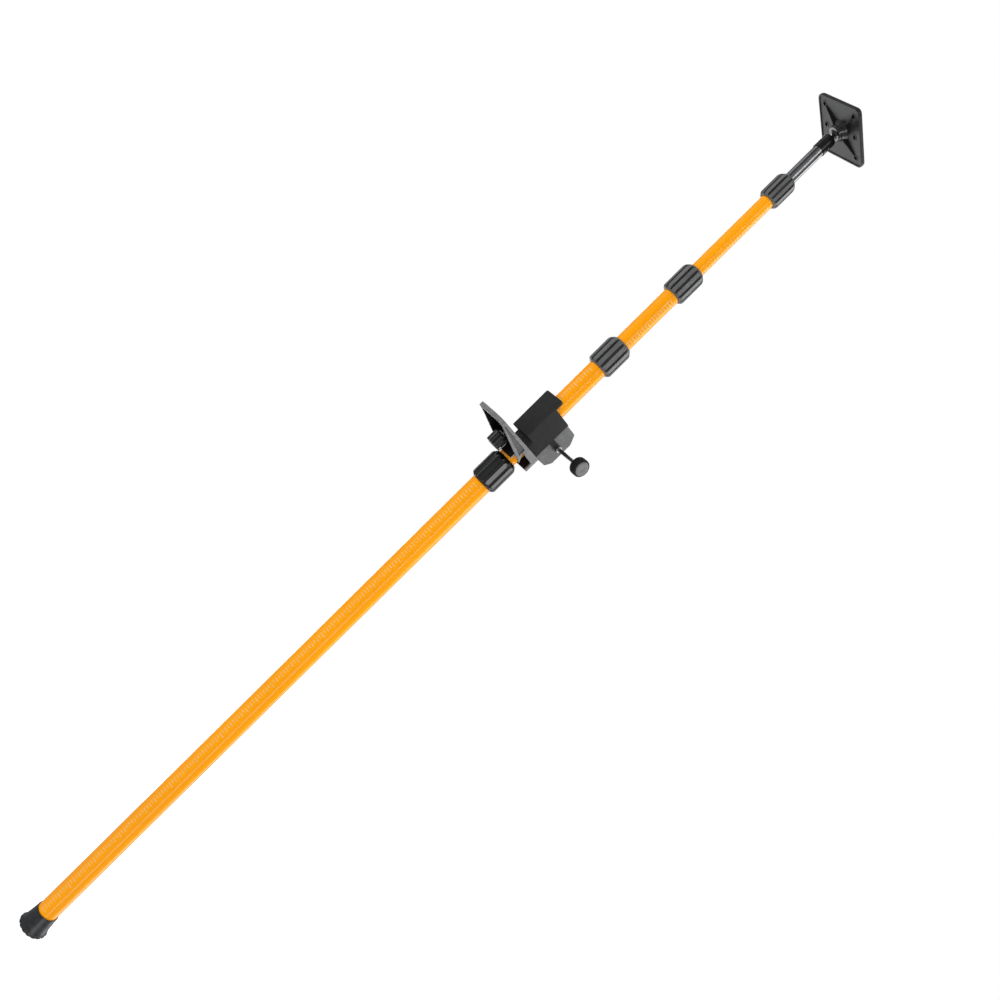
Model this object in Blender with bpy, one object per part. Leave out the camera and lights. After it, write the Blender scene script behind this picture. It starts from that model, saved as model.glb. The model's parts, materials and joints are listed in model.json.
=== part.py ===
"""Telescopic floor-to-ceiling support pole for a laser level: metres, +Z up, foot on the origin."""

import math

import bmesh
import bpy
from mathutils import Matrix, Vector

MM = 0.001
TURN = 2 * math.pi
GAP = 0.3  # clearance between neighbouring pieces, millimetres

# Telescoping stages, from the outer tube up: outer radius, lower end and the collar above.
TUBE_RADII = (16.0, 14.5, 13.0, 10.8)
TUBE_BOTTOMS = (6.3, 217.0, 340.0, 506.0)
TUBE_WALL = 1.0
COLLAR_SPANS = ((896.0, 946.0), (1128.0, 1177.0), (1275.0, 1325.0), (1466.0, 1510.0))
COLLAR_RADII = (21.6, 20.5, 18.85, 16.3)
COLLAR_RIBS = 12
RIB_DEPTH = 1.5
LIP = 2.4
TUBE_TOP_IN_COLLAR = 22.0

# Top rod, its guide and the spring under it.
ROD_RADIUS = 8.9
ROD_BORE = 7.6
ROD_GROOVES = 6
ROD_GROOVE_DEPTH = 0.6
ROD_GROOVE_START = math.radians(-8.0)
ROD_SPAN = (1400.0, 1589.0)
SEAT_SPAN = (1299.0, 1305.0)
SPRING_TURNS = 7
SPRING_RADIUS = 7.0
SPRING_WIRE = 0.8
GUIDE_FLANGE = 8.0

# Ceiling head. The plate is modelled level around the ball and then tilted.
BALL_CENTRE = 1605.0
BALL_RADIUS = 7.0
NECK_RADIUS = 2.5
PLATE_HALF = 44.5
PLATE_CORNER = 7.5
PLATE_UNDER = 6.5
PLATE_TOP = 9.5
PLATE_TILT = math.radians(-15.0)
TILT_AXIS = (math.sqrt(0.5), -math.sqrt(0.5), 0.0)
PLATE_HOLE = 31.5
PLATE_BORE = 3.1
PAD_THICKNESS = 2.0

# Clamp bracket on the second tube.
BODY_HALF = 20.0
BODY_FRONT = -17.0
BODY_BACK = 21.0
BODY_SPAN = (976.8, 1042.0)
NECK_TOP = 987.0
CLAMP_BORE = 16.3
SLIT = 1.5
EAR_OUTER = 17.0
EAR_BACK = 55.0
WALL_FRONT = -21.0
WALL_TOP = 1056.0
SCREW_Y = 39.0
SCREW_Z = 1009.0
SCREW_RADIUS = 2.75
CLAMP_KNOB = (67.0, 81.5, 13.5)
SCREW_HOLE = 3.1

# Instrument platform, its flanges and its knob screw.
DECK_HALF = 29.5
DECK_BACK = 18.5
DECK_FRONT = -88.0
DECK_TOP = 976.5
DECK_UNDER = 972.5
LIP_BOTTOM = 969.5
FLANGE_BOTTOM = 952.5
RIB_BOTTOM = 949.5
BACK_WALL = 15.5
LIP_WALL = 3.0
STUD_Y = -37.5
STUD_RADIUS = 3.175
STUD_HOLE = 3.5
INSTRUMENT_KNOB = (944.5, 964.5, 12.8)

ORANGE = (0.95, 0.42, 0.02)
BLACK = (0.02, 0.02, 0.022)
GREY = (0.22, 0.22, 0.23)
STEEL = (0.55, 0.55, 0.57)


def clear_scene():
    for obj in list(bpy.data.objects):
        bpy.data.objects.remove(obj, do_unlink=True)


def material(name, color, roughness, metallic):
    found = bpy.data.materials.get(name)
    if found:
        return found
    made = bpy.data.materials.new(name)
    made.use_nodes = True
    shader = made.node_tree.nodes["Principled BSDF"]
    shader.inputs["Base Color"].default_value = (*color, 1.0)
    shader.inputs["Roughness"].default_value = roughness
    shader.inputs["Metallic"].default_value = metallic
    made.diffuse_color = (*color, 1.0)
    return made


def orange_paint():
    return material("orange_paint", ORANGE, 0.3, 0.0)


def black_plastic():
    return material("black_plastic", BLACK, 0.45, 0.0)


def black_rubber():
    return material("black_rubber", BLACK, 0.8, 0.0)


def grey_metal():
    return material("grey_metal", GREY, 0.4, 0.8)


def steel():
    return material("steel", STEEL, 0.3, 1.0)


def white_plastic():
    return material("white_plastic", (0.75, 0.75, 0.72), 0.5, 0.0)


def finish(name, bm, surface, origin=(0.0, 0.0, 0.0), smooth_under=30.0):
    """Makes an object from a bmesh in millimetres, with its origin at the given point."""
    bmesh.ops.translate(bm, verts=bm.verts, vec=-Vector(origin))
    bmesh.ops.scale(bm, verts=bm.verts, vec=(MM, MM, MM))
    bmesh.ops.recalc_face_normals(bm, faces=bm.faces)
    mesh = bpy.data.meshes.new(name)
    bm.to_mesh(mesh)
    bm.free()
    mesh.shade_smooth()
    mesh.set_sharp_from_angle(angle=math.radians(smooth_under))
    mesh.materials.append(surface)
    obj = bpy.data.objects.new(name, mesh)
    obj.location = Vector(origin) * MM
    bpy.context.scene.collection.objects.link(obj)
    return obj


def loft(rings, hollow):
    """Joins rings of points side by side. A hollow loft closes on itself, any other gets end caps."""
    bm = bmesh.new()
    rows = [[bm.verts.new(point) for point in ring] for ring in rings]
    pairs = list(zip(rows, rows[1:]))
    if hollow:
        pairs.append((rows[-1], rows[0]))
    for low, high in pairs:
        for i in range(len(low)):
            j = (i + 1) % len(low)
            bm.faces.new((low[i], low[j], high[j], high[i]))
    if not hollow:
        bm.faces.new(rows[0])
        bm.faces.new(rows[-1])
    return bm


def circle(radius, z, count):
    return [Vector((radius * math.cos(TURN * i / count), radius * math.sin(TURN * i / count), z))
            for i in range(count)]


def turned(profile, count=40, hollow=True):
    """A solid of revolution about Z from (radius, height) points."""
    return loft([circle(radius, z, count) for radius, z in profile], hollow)


def ribbed_ring(radius, depth, ribs, z):
    """A ring with flat-topped ribs and narrow grooves between them."""
    groove = radius - depth
    steps = ((0.0, groove), (0.16, groove), (0.3, radius), (0.86, radius))
    ring = []
    for rib in range(ribs):
        for share, r in steps:
            angle = TURN * (rib + share) / ribs
            ring.append(Vector((r * math.cos(angle), r * math.sin(angle), z)))
    return ring


def prism(outline, low, high, axis="Z"):
    """Extrudes an outline. Along Z the outline is (x, y), and along X it is (y, z)."""
    if axis == "Z":
        rings = [[Vector((a, b, level)) for a, b in outline] for level in (low, high)]
    else:
        rings = [[Vector((level, a, b)) for a, b in outline] for level in (low, high)]
    return loft(rings, hollow=False)


def arc(centre, radius, start, end, count):
    """Points on an arc, in degrees, with both ends."""
    points = []
    for i in range(count + 1):
        angle = math.radians(start + (end - start) * i / count)
        points.append((centre[0] + radius * math.cos(angle), centre[1] + radius * math.sin(angle)))
    return points


def rounded_rectangle(left, right, front, back, front_radius, back_radius):
    points = arc((right - back_radius, back - back_radius), back_radius, 0, 90, 4)
    points += arc((left + back_radius, back - back_radius), back_radius, 90, 180, 4)
    points += arc((left + front_radius, front + front_radius), front_radius, 180, 270, 8)
    points += arc((right - front_radius, front + front_radius), front_radius, 270, 360, 8)
    return points


def along_x(bm, y, z):
    """Turns a shape made around Z so that it lies along X through the given height."""
    bmesh.ops.transform(bm, matrix=Matrix.Rotation(math.pi / 2, 4, "Y"), verts=bm.verts)
    bmesh.ops.translate(bm, verts=bm.verts, vec=(0.0, y, z))
    return bm


def cutter(name, bm, matrix=None):
    obj = finish(name, bm, steel())
    if matrix:
        obj.matrix_world = matrix
    obj.hide_render = True
    obj.display_type = "WIRE"
    return obj


def boolean(obj, other, operation="DIFFERENCE"):
    modifier = obj.modifiers.new(other.name, "BOOLEAN")
    modifier.operation = operation
    modifier.solver = "EXACT"
    modifier.object = other


def rubber_foot():
    """A flared boot whose lower rim is toothed, with a socket for the outer tube."""
    teeth = 16
    count = teeth * 4
    rings = [
        ribbed_ring(21.8, 1.5, teeth, 0.0),
        ribbed_ring(22.7, 1.6, teeth, 1.2),
        ribbed_ring(22.4, 1.2, teeth, 2.8),
        circle(20.3, 5.0, count),
        circle(19.2, 12.0, count),
        circle(17.5, 31.0, count),
        circle(TUBE_RADII[0] + GAP, 31.0, count),
        circle(TUBE_RADII[0] + GAP, 6.0, count),
    ]
    return finish("rubber_foot", loft(rings, hollow=False), black_rubber())


def tube_top(stage):
    return COLLAR_SPANS[stage][0] + TUBE_TOP_IN_COLLAR


def tube(name, stage):
    radius = TUBE_RADII[stage]
    low, high = TUBE_BOTTOMS[stage], tube_top(stage)
    inner = radius - TUBE_WALL
    profile = ((radius, low), (radius, high), (inner, high), (inner, low))
    return finish(name, turned(profile), orange_paint(), (0.0, 0.0, low))


def inner_radius(stage):
    """Outer radius of what slides through the collar of a stage."""
    return (TUBE_RADII + (ROD_RADIUS,))[stage + 1]


def twist_collar(stage):
    low, high = COLLAR_SPANS[stage]
    radius, tube_radius, through = COLLAR_RADII[stage], TUBE_RADII[stage], inner_radius(stage)
    count = COLLAR_RIBS * 4
    bore = tube_radius + 2.1
    rings = [
        circle(tube_radius + 1.4, low, count),
        ribbed_ring(radius, RIB_DEPTH, COLLAR_RIBS, low + 4.5),
        ribbed_ring(radius, RIB_DEPTH, COLLAR_RIBS, high - 7.0),
        circle(through + 2.2, high, count),
        circle(through + 0.5, high, count),
        circle(through + 0.5, high - 3.0, count),
        circle(bore, high - 5.5, count),
        circle(bore, low + LIP, count),
        circle(tube_radius + 0.4, low + LIP, count),
        circle(tube_radius + 0.4, low, count),
    ]
    name = f"lock_{stage + 1}_collar"
    return finish(name, loft(rings, hollow=True), black_plastic(), (0.0, 0.0, low))


def split_collet(stage):
    """A ferrule on the end of a tube, with fingers around what slides through it."""
    low, high = COLLAR_SPANS[stage]
    tube_radius, through = TUBE_RADII[stage], inner_radius(stage)
    outer, shoulder, top = tube_radius + 1.8, tube_top(stage) + GAP, high - 6.0
    profile = (
        (outer, low + LIP + GAP),
        (outer, top - 6.0),
        (through + 1.7, top),
        (through + GAP, top),
        (through + GAP, shoulder),
        (tube_radius + GAP, shoulder),
        (tube_radius + GAP, low + LIP + GAP),
    )
    name = f"lock_{stage + 1}_collet"
    collet = finish(name, turned(profile, 28), white_plastic(), (0.0, 0.0, low))
    slot = [(-30.0, -0.6), (30.0, -0.6), (30.0, 0.6), (-30.0, 0.6)]
    for turn in range(2):
        quarter = Matrix.Rotation(turn * math.pi / 2 + math.radians(11), 4, "Z")
        boolean(collet, cutter(f"{name}_slit_{turn}", prism(slot, shoulder + 5.0, high), quarter))
    return collet


def guide_bush(stage):
    """A plug in the lower end of a tube, with a flange that runs in the tube around it."""
    radius, low = TUBE_RADII[stage], TUBE_BOTTOMS[stage]
    flange = TUBE_RADII[stage - 1] - TUBE_WALL - 0.25
    spigot, bore = radius - TUBE_WALL - GAP, radius - TUBE_WALL - 3.0
    profile = (
        (bore, low - GUIDE_FLANGE),
        (flange, low - GUIDE_FLANGE),
        (flange, low - GAP),
        (spigot, low - GAP),
        (spigot, low + 16.0),
        (bore, low + 16.0),
    )
    name = f"guide_bush_{stage + 1}"
    return finish(name, turned(profile, 24), white_plastic(), (0.0, 0.0, low))


def top_rod():
    """A tube with narrow lengthwise grooves."""
    low, high = ROD_SPAN
    per_groove = 8

    def fluted(z):
        ring = []
        for i in range(ROD_GROOVES * per_groove):
            radius = ROD_RADIUS - (ROD_GROOVE_DEPTH if i % per_groove == 0 else 0.0)
            angle = ROD_GROOVE_START + TURN * i / ROD_GROOVES / per_groove
            ring.append(Vector((radius * math.cos(angle), radius * math.sin(angle), z)))
        return ring

    count = ROD_GROOVES * per_groove
    rings = [fluted(low), fluted(high), circle(ROD_BORE, high, count), circle(ROD_BORE, low, count)]
    return finish("top_rod", loft(rings, hollow=True), grey_metal(), (0.0, 0.0, low))


def rod_guide():
    low = ROD_SPAN[0]
    flange = TUBE_RADII[3] - TUBE_WALL - 0.25
    profile = (
        (3.5, low - GUIDE_FLANGE),
        (flange, low - GUIDE_FLANGE),
        (flange, low - GAP),
        (ROD_BORE - GAP, low - GAP),
        (ROD_BORE - GAP, low + 16.0),
        (3.5, low + 16.0),
    )
    return finish("rod_guide_bush", turned(profile, 24), white_plastic(), (0.0, 0.0, low))


def spring_seat():
    low, high = SEAT_SPAN
    outer = TUBE_RADII[3] - TUBE_WALL - GAP
    profile = ((3.0, low), (outer, low), (outer, high), (3.0, high))
    return finish("spring_seat", turned(profile, 24), white_plastic(), (0.0, 0.0, low))


def pressure_spring():
    """An open coil between the seat and the rod's guide."""
    low = SEAT_SPAN[1] + GAP + SPRING_WIRE
    high = ROD_SPAN[0] - GUIDE_FLANGE - GAP - SPRING_WIRE
    per_turn, sides = 10, 5
    count = SPRING_TURNS * per_turn
    rings = []
    for i in range(count + 1):
        angle = TURN * i / per_turn
        outward = Vector((math.cos(angle), math.sin(angle), 0.0))
        centre = SPRING_RADIUS * outward
        centre.z = low + (high - low) * i / count
        ring = []
        for side in range(sides):
            around = TURN * side / sides
            across = Vector((0.0, 0.0, math.sin(around))) + outward * math.cos(around)
            ring.append(centre + SPRING_WIRE * across)
        rings.append(ring)
    return finish("pressure_spring", loft(rings, hollow=False), steel(), (0.0, 0.0, low))


def rod_end_sleeve():
    """A cap over the rod's end that holds the ball stud."""
    low, top = ROD_SPAN[1] - 20.0, ROD_SPAN[1] + 4.0
    outer, skirt = ROD_RADIUS + 1.0, ROD_RADIUS + GAP
    profile = (
        (NECK_RADIUS + 0.9 + GAP, top),
        (outer - 1.5, top),
        (outer, top - 2.0),
        (outer, low),
        (skirt, low),
        (skirt, ROD_SPAN[1] + GAP),
        (NECK_RADIUS + 0.9 + GAP, ROD_SPAN[1] + GAP),
    )
    return finish("rod_end_sleeve", turned(profile, 32), black_plastic(), (0.0, 0.0, low))


def ball_stud():
    """A shank in the sleeve, a neck and a ball."""
    shank, low, top = NECK_RADIUS + 0.9, ROD_SPAN[1] - 14.0, ROD_SPAN[1] + 5.0
    profile = [(shank, low), (shank, top), (NECK_RADIUS, top + 0.6)]
    steps = 8
    start = math.asin(NECK_RADIUS / BALL_RADIUS)
    for i in range(steps + 1):
        angle = start + (math.pi - 0.08 - start) * i / steps
        profile.append((BALL_RADIUS * math.sin(angle), BALL_CENTRE - BALL_RADIUS * math.cos(angle)))
    return finish("ball_stud", turned(profile, 24, hollow=False), steel(), (0.0, 0.0, BALL_CENTRE))


def plate_pose():
    return Matrix.Translation((0.0, 0.0, BALL_CENTRE * MM)) @ Matrix.Rotation(PLATE_TILT, 4, TILT_AXIS)


def plate_outline(half, radius):
    return rounded_rectangle(-half, half, -half, half, radius, radius)


def ceiling_plate():
    """A square plate with a conical boss, four ribs and six screw holes."""
    slab = prism(plate_outline(PLATE_HALF, PLATE_CORNER), PLATE_UNDER, PLATE_TOP)
    plate = finish("ceiling_plate", slab, black_plastic())
    plate.matrix_world = plate_pose()
    boss = ((11.0, -3.5), (12.2, -2.0), (12.8, 2.0), (17.0, PLATE_UNDER + 1.0))
    boolean(plate, cutter("plate_boss", turned(boss, 28, hollow=False), plate_pose()), "UNION")
    outside, inside = (PLATE_HALF - 0.1, PLATE_CORNER), (PLATE_HALF - 2.2, PLATE_CORNER - 2.1)
    rim_low, rim_high = PLATE_UNDER - 1.0, PLATE_UNDER + 1.0
    corners = ((*outside, rim_low), (*outside, rim_high), (*inside, rim_high), (*inside, rim_low))
    rim = loft([[Vector((x, y, z)) for x, y in plate_outline(half, radius)]
                for half, radius, z in corners], hollow=True)
    boolean(plate, cutter("plate_rim", rim, plate_pose()), "UNION")
    reach = PLATE_HOLE * math.sqrt(2) - 3.5
    rib_side = ((9.5, 0.5), (13.0, 1.5), (reach, PLATE_UNDER - 1.4), (reach, rim_high), (9.5, rim_high))
    for k in range(4):
        rib = loft([[Vector((x, y, z)) for x, z in rib_side] for y in (-1.6, 1.6)], hollow=False)
        turn = plate_pose() @ Matrix.Rotation(math.pi / 4 + k * math.pi / 2, 4, "Z")
        boolean(plate, cutter(f"plate_rib_{k}", rib, turn), "UNION")
    well = ((8.9, PLATE_TOP - 3.0), (8.9, PLATE_TOP + 1.0))
    seat = [(5.9, -6.0), (5.9, -4.0)]
    hollow = BALL_RADIUS + GAP
    for i in range(6):
        angle = math.radians(62 - 62 * i / 5)
        seat.append((hollow * math.cos(angle / 2), -hollow * math.sin(angle / 2)))
    seat.append((hollow, PLATE_TOP - 2.0))
    boolean(plate, cutter("plate_seat", turned(seat, 24, hollow=False), plate_pose()))
    boolean(plate, cutter("plate_well", turned(well, 24, hollow=False), plate_pose()))
    places = [(x * PLATE_HOLE, y * PLATE_HOLE) for x in (-1, 1) for y in (-1, 1)]
    places += [(-PLATE_HOLE, 0), (PLATE_HOLE, 0)]
    for k, (x, y) in enumerate(places):
        hole = turned(((PLATE_BORE, 0.0), (PLATE_BORE, 20.0)), 16, hollow=False)
        at = plate_pose() @ Matrix.Translation((x * MM, y * MM, 0.0))
        boolean(plate, cutter(f"plate_hole_{k}", hole, at))
    return plate


def ball_retainer():
    """A dished plug that closes the ball's socket from above."""
    top = PLATE_TOP - GAP
    profile = [(8.5, PLATE_TOP - 3.0 + GAP), (8.5, top), (1.5, top)]
    dish = BALL_RADIUS + GAP
    profile.append((1.5, math.sqrt(dish ** 2 - 1.5 ** 2)))
    inner = math.sqrt(dish ** 2 - (PLATE_TOP - 3.0 + GAP) ** 2)
    profile.append((inner, PLATE_TOP - 3.0 + GAP))
    retainer = finish("ball_retainer", turned(profile, 32), steel())
    retainer.matrix_world = plate_pose()
    return retainer


def grip_pad():
    low = PLATE_TOP + GAP
    outline = plate_outline(PLATE_HALF - 1.0, PLATE_CORNER - 1.0)
    pad = finish("grip_pad", prism(outline, low, low + PAD_THICKNESS), black_rubber())
    pad.matrix_world = plate_pose()
    return pad


def clamp_body():
    """A split block around the tube with a raised front wall and two ears at the back."""
    low, high = BODY_SPAN
    mouth = math.degrees(math.asin(SLIT / CLAMP_BORE))
    bore = arc((0.0, 0.0), CLAMP_BORE, 90 + mouth, 450 - mouth, 44)
    block = bore + [(SLIT, BODY_BACK), (BODY_HALF, BODY_BACK), (BODY_HALF, BODY_FRONT - 0.5)]
    block += [(-BODY_HALF, BODY_FRONT - 0.5), (-BODY_HALF, BODY_BACK), (-SLIT, BODY_BACK)]
    body = finish("clamp_body", prism(block, NECK_TOP, high), black_plastic(), (0.0, 0.0, low))
    half, cut = BODY_HALF, 11.8
    neck = bore + [(SLIT, BODY_BACK), (half, BODY_BACK), (half, BODY_FRONT + cut)]
    neck += [(half - cut, BODY_FRONT), (cut - half, BODY_FRONT)]
    neck += [(-half, BODY_FRONT + cut), (-half, BODY_BACK), (-SLIT, BODY_BACK)]
    boolean(body, cutter("clamp_neck", prism(neck, low, NECK_TOP + 1.0)), "UNION")
    wall = [(-half, NECK_TOP), (half, NECK_TOP)] + arc((half - 5.0, WALL_TOP - 5.0), 5.0, 0, 90, 5)
    wall += arc((2.5 - half, WALL_TOP - 2.5), 2.5, 90, 180, 3)
    plate = loft([[Vector((x, y, z)) for x, z in wall] for y in (WALL_FRONT, BODY_FRONT)], hollow=False)
    boolean(body, cutter("clamp_wall", plate), "UNION")
    back = EAR_BACK
    ear = [(BODY_BACK - 3.0, 978.5), (back - 8.0, 978.5), (back, 989.5), (back, 1027.0)]
    ear += [(back - 9.0, 1041.0), (BODY_BACK - 3.0, 1041.0)]
    for side in (-1, 1):
        shape = prism(ear, side * SLIT, side * EAR_OUTER, "X")
        boolean(body, cutter(f"clamp_ear_{side}", shape), "UNION")
    boss = [(BODY_BACK - 2.0, SCREW_Z - 4.0), (SCREW_Y + 5.0, SCREW_Z - 4.0),
            (SCREW_Y + 5.0, SCREW_Z + 4.0), (BODY_BACK - 2.0, SCREW_Z + 4.0)]
    boolean(body, cutter("clamp_boss", prism(boss, EAR_OUTER - 1.0, EAR_OUTER + 3.0, "X")), "UNION")
    hole = along_x(turned(((SCREW_HOLE, -40.0), (SCREW_HOLE, 40.0)), 24, hollow=False), SCREW_Y, SCREW_Z)
    boolean(body, cutter("clamp_screw_hole", hole))
    for k, (x, y) in enumerate(platform_screw_places()):
        drill = turned(((1.6, low - 2.0), (1.6, low + 9.0)), 12, hollow=False)
        boolean(body, cutter(f"clamp_drill_{k}", drill, Matrix.Translation((x * MM, y * MM, 0.0))))
    return body


def clamp_liner():
    """A split sleeve between the clamp's bore and the tube."""
    outer, inner = CLAMP_BORE - GAP, TUBE_RADII[1] + GAP
    opening = math.degrees(math.asin(SLIT / outer))
    outline = arc((0.0, 0.0), outer, 90 + opening, 450 - opening, 44)
    outline += arc((0.0, 0.0), inner, 450 - opening, 90 + opening, 44)
    return finish("clamp_liner", prism(outline, 981.0, 1039.0), white_plastic(), (0.0, 0.0, 981.0))


def clamp_screw():
    """A rod with a shoulder, along X through both ears."""
    shoulder, shoulder_radius = (21.6, 23.8), 5.0
    profile = (
        (SCREW_RADIUS, -24.0),
        (SCREW_RADIUS, shoulder[0]),
        (shoulder_radius, shoulder[0]),
        (shoulder_radius, shoulder[1]),
        (SCREW_RADIUS, shoulder[1]),
        (SCREW_RADIUS, 75.2),
    )
    bm = along_x(turned(profile, 24, hollow=False), SCREW_Y, SCREW_Z)
    return finish("clamp_screw", bm, steel(), (0.0, SCREW_Y, SCREW_Z))


def clamp_washer():
    low, high = EAR_OUTER + 3.0 + GAP, EAR_OUTER + 3.0 + GAP + 1.0
    profile = ((SCREW_HOLE, low), (6.0, low), (6.0, high), (SCREW_HOLE, high))
    bm = along_x(turned(profile, 24), SCREW_Y, SCREW_Z)
    return finish("clamp_washer", bm, steel(), (0.0, SCREW_Y, SCREW_Z))


def clamp_nut():
    high = -EAR_OUTER - GAP
    low = high - 5.0
    bm = along_x(turned(((5.8, low), (5.8, high)), 6, hollow=False), SCREW_Y, SCREW_Z)
    nut = finish("clamp_nut", bm, steel(), (0.0, SCREW_Y, SCREW_Z))
    hole = turned(((SCREW_HOLE, low - 2.0), (SCREW_HOLE, high + 2.0)), 24, hollow=False)
    boolean(nut, cutter("clamp_nut_hole", along_x(hole, SCREW_Y, SCREW_Z)))
    return nut


def clamp_knob():
    """A knurled knob with a blind bore on the end of the screw."""
    low, high, radius = CLAMP_KNOB
    ribs = 18
    count = ribs * 4
    rings = [
        circle(SCREW_HOLE, low + 8.5, count),
        circle(SCREW_HOLE, low, count),
        circle(radius - 4.0, low, count),
        ribbed_ring(radius, 0.7, ribs, low + 2.6),
        ribbed_ring(radius, 0.7, ribs, high - 1.6),
        circle(radius - 2.0, high, count),
    ]
    bm = along_x(loft(rings, hollow=False), SCREW_Y, SCREW_Z)
    return finish("clamp_knob", bm, black_plastic(), (0.0, SCREW_Y, SCREW_Z))


def platform_screw_places():
    return ((-17.5, 12.0), (17.5, 12.0))


def platform():
    """A deck with a lip all round, tapering side flanges, a cross rib and a back wall."""
    outer = rounded_rectangle(-DECK_HALF, DECK_HALF, DECK_FRONT, DECK_BACK, 12.0, 2.0)
    side_wall = DECK_HALF - LIP_WALL
    front, rear = DECK_FRONT + LIP_WALL, DECK_BACK - LIP_WALL
    inner = rounded_rectangle(-side_wall, side_wall, front, rear, 9.0, 1.0)
    deck = finish("platform", prism(outer, LIP_BOTTOM, DECK_TOP), grey_metal(), (0.0, 0.0, DECK_TOP))
    boolean(deck, cutter("deck_hollow", prism(inner, LIP_BOTTOM - 2.0, DECK_UNDER)))
    back, root = DECK_BACK - 0.6, DECK_UNDER + 1.0
    flange = [(back, root), (back, FLANGE_BOTTOM), (-3.0, FLANGE_BOTTOM)]
    flange += [(-77.0, LIP_BOTTOM + 0.4), (-77.0, root)]
    panel = [(-14.5, 971.2), (-72.0, 972.2), (-72.0, 971.3), (-14.5, 959.9)]
    notch = [(13.0, RIB_BOTTOM), (13.0, 965.0), (-13.2, 966.5), (-9.5, 960.0), (-0.5, RIB_BOTTOM)]
    for side in (-1, 1):
        sheet = prism(flange, side * side_wall, side * DECK_HALF, "X")
        boolean(deck, cutter(f"deck_flange_{side}", sheet), "UNION")
    rib = [(-22.0, root), (-22.0, RIB_BOTTOM), (-19.2, RIB_BOTTOM), (-19.2, root)]
    wall = [(BACK_WALL, root), (BACK_WALL, FLANGE_BOTTOM), (back, FLANGE_BOTTOM), (back, root)]
    reach = side_wall + 1.0
    boolean(deck, cutter("deck_rib", prism(rib, -reach, reach, "X")), "UNION")
    boolean(deck, cutter("deck_back", prism(wall, -reach, reach, "X")), "UNION")
    for side in (-1, 1):
        recess = prism(panel, side * (DECK_HALF - 1.2), side * (DECK_HALF + 2.0), "X")
        boolean(deck, cutter(f"deck_panel_{side}", recess))
        pocket = prism(notch, side * (side_wall - 2.0), side * (DECK_HALF + 2.0), "X")
        boolean(deck, cutter(f"deck_notch_{side}", pocket))
    holes = [(0.0, 0.0, CLAMP_BORE), (0.0, STUD_Y, STUD_HOLE)]
    holes += [(x, y, 1.7) for x, y in platform_screw_places()]
    for k, (x, y, radius) in enumerate(holes):
        hole = turned(((radius, DECK_UNDER - 3.0), (radius, DECK_TOP + 3.0)), 32, hollow=False)
        boolean(deck, cutter(f"deck_hole_{k}", hole, Matrix.Translation((x * MM, y * MM, 0.0))))
    return deck


def platform_screw(name, x, y):
    """A pan-headed screw up through the deck into the clamp body."""
    under = DECK_UNDER - GAP
    head = ((1.6, under - 2.5), (2.4, under - 2.5), (2.7, under - 1.8), (2.7, under))
    profile = head + ((1.3, under), (1.3, 982.5))
    screw = finish(name, turned(profile, 16, hollow=False), steel())
    screw.location = (x * MM, y * MM, 0.0)
    return screw


def instrument_stud():
    profile = ((STUD_RADIUS, 953.8), (STUD_RADIUS, DECK_TOP - 1.0), (STUD_RADIUS - 0.6, DECK_TOP - GAP))
    stud = finish("instrument_stud", turned(profile, 24, hollow=False), steel())
    stud.location = (0.0, STUD_Y * MM, 0.0)
    return stud


def instrument_knob():
    """A ribbed thumb knob with a blind bore for the stud."""
    low, high, radius = INSTRUMENT_KNOB
    ribs = 14
    count = ribs * 4
    rings = [
        circle(radius - 2.6, low, count),
        ribbed_ring(radius, 1.1, ribs, low + 2.0),
        ribbed_ring(radius, 1.1, ribs, high - 2.0),
        circle(radius - 2.6, high, count),
        circle(STUD_HOLE, high, count),
        circle(STUD_HOLE, 953.5, count),
    ]
    knob = finish("instrument_knob", loft(rings, hollow=False), black_plastic())
    knob.location = (0.0, STUD_Y * MM, 0.0)
    return knob


def thrust_washer():
    low = INSTRUMENT_KNOB[1] + GAP
    profile = ((STUD_HOLE, low), (8.5, low), (8.5, low + 0.8), (STUD_HOLE, low + 0.8))
    washer = finish("thrust_washer", turned(profile, 32), steel())
    washer.location = (0.0, STUD_Y * MM, 0.0)
    return washer


def build():
    clear_scene()
    rubber_foot()
    for stage, name in enumerate(("outer_tube", "second_tube", "third_tube", "fourth_tube")):
        tube(name, stage)
        twist_collar(stage)
        split_collet(stage)
    for stage in (1, 2, 3):
        guide_bush(stage)
    top_rod()
    rod_guide()
    spring_seat()
    pressure_spring()
    rod_end_sleeve()
    ball_stud()
    ceiling_plate()
    ball_retainer()
    grip_pad()
    clamp_body()
    clamp_liner()
    clamp_screw()
    clamp_washer()
    clamp_nut()
    clamp_knob()
    platform()
    for name, (x, y) in zip(("platform_screw_left", "platform_screw_right"), platform_screw_places()):
        platform_screw(name, x, y)
    instrument_stud()
    instrument_knob()
    thrust_washer()


build()
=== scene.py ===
"""The visual model of a telescopic laser level pole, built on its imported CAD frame.

Shapes are worked out in millimetres from the CAD nodes' boxes and turned into metres at the end.
"""

import json
import math

import bmesh
import bpy
from mathutils import Matrix, Vector

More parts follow.
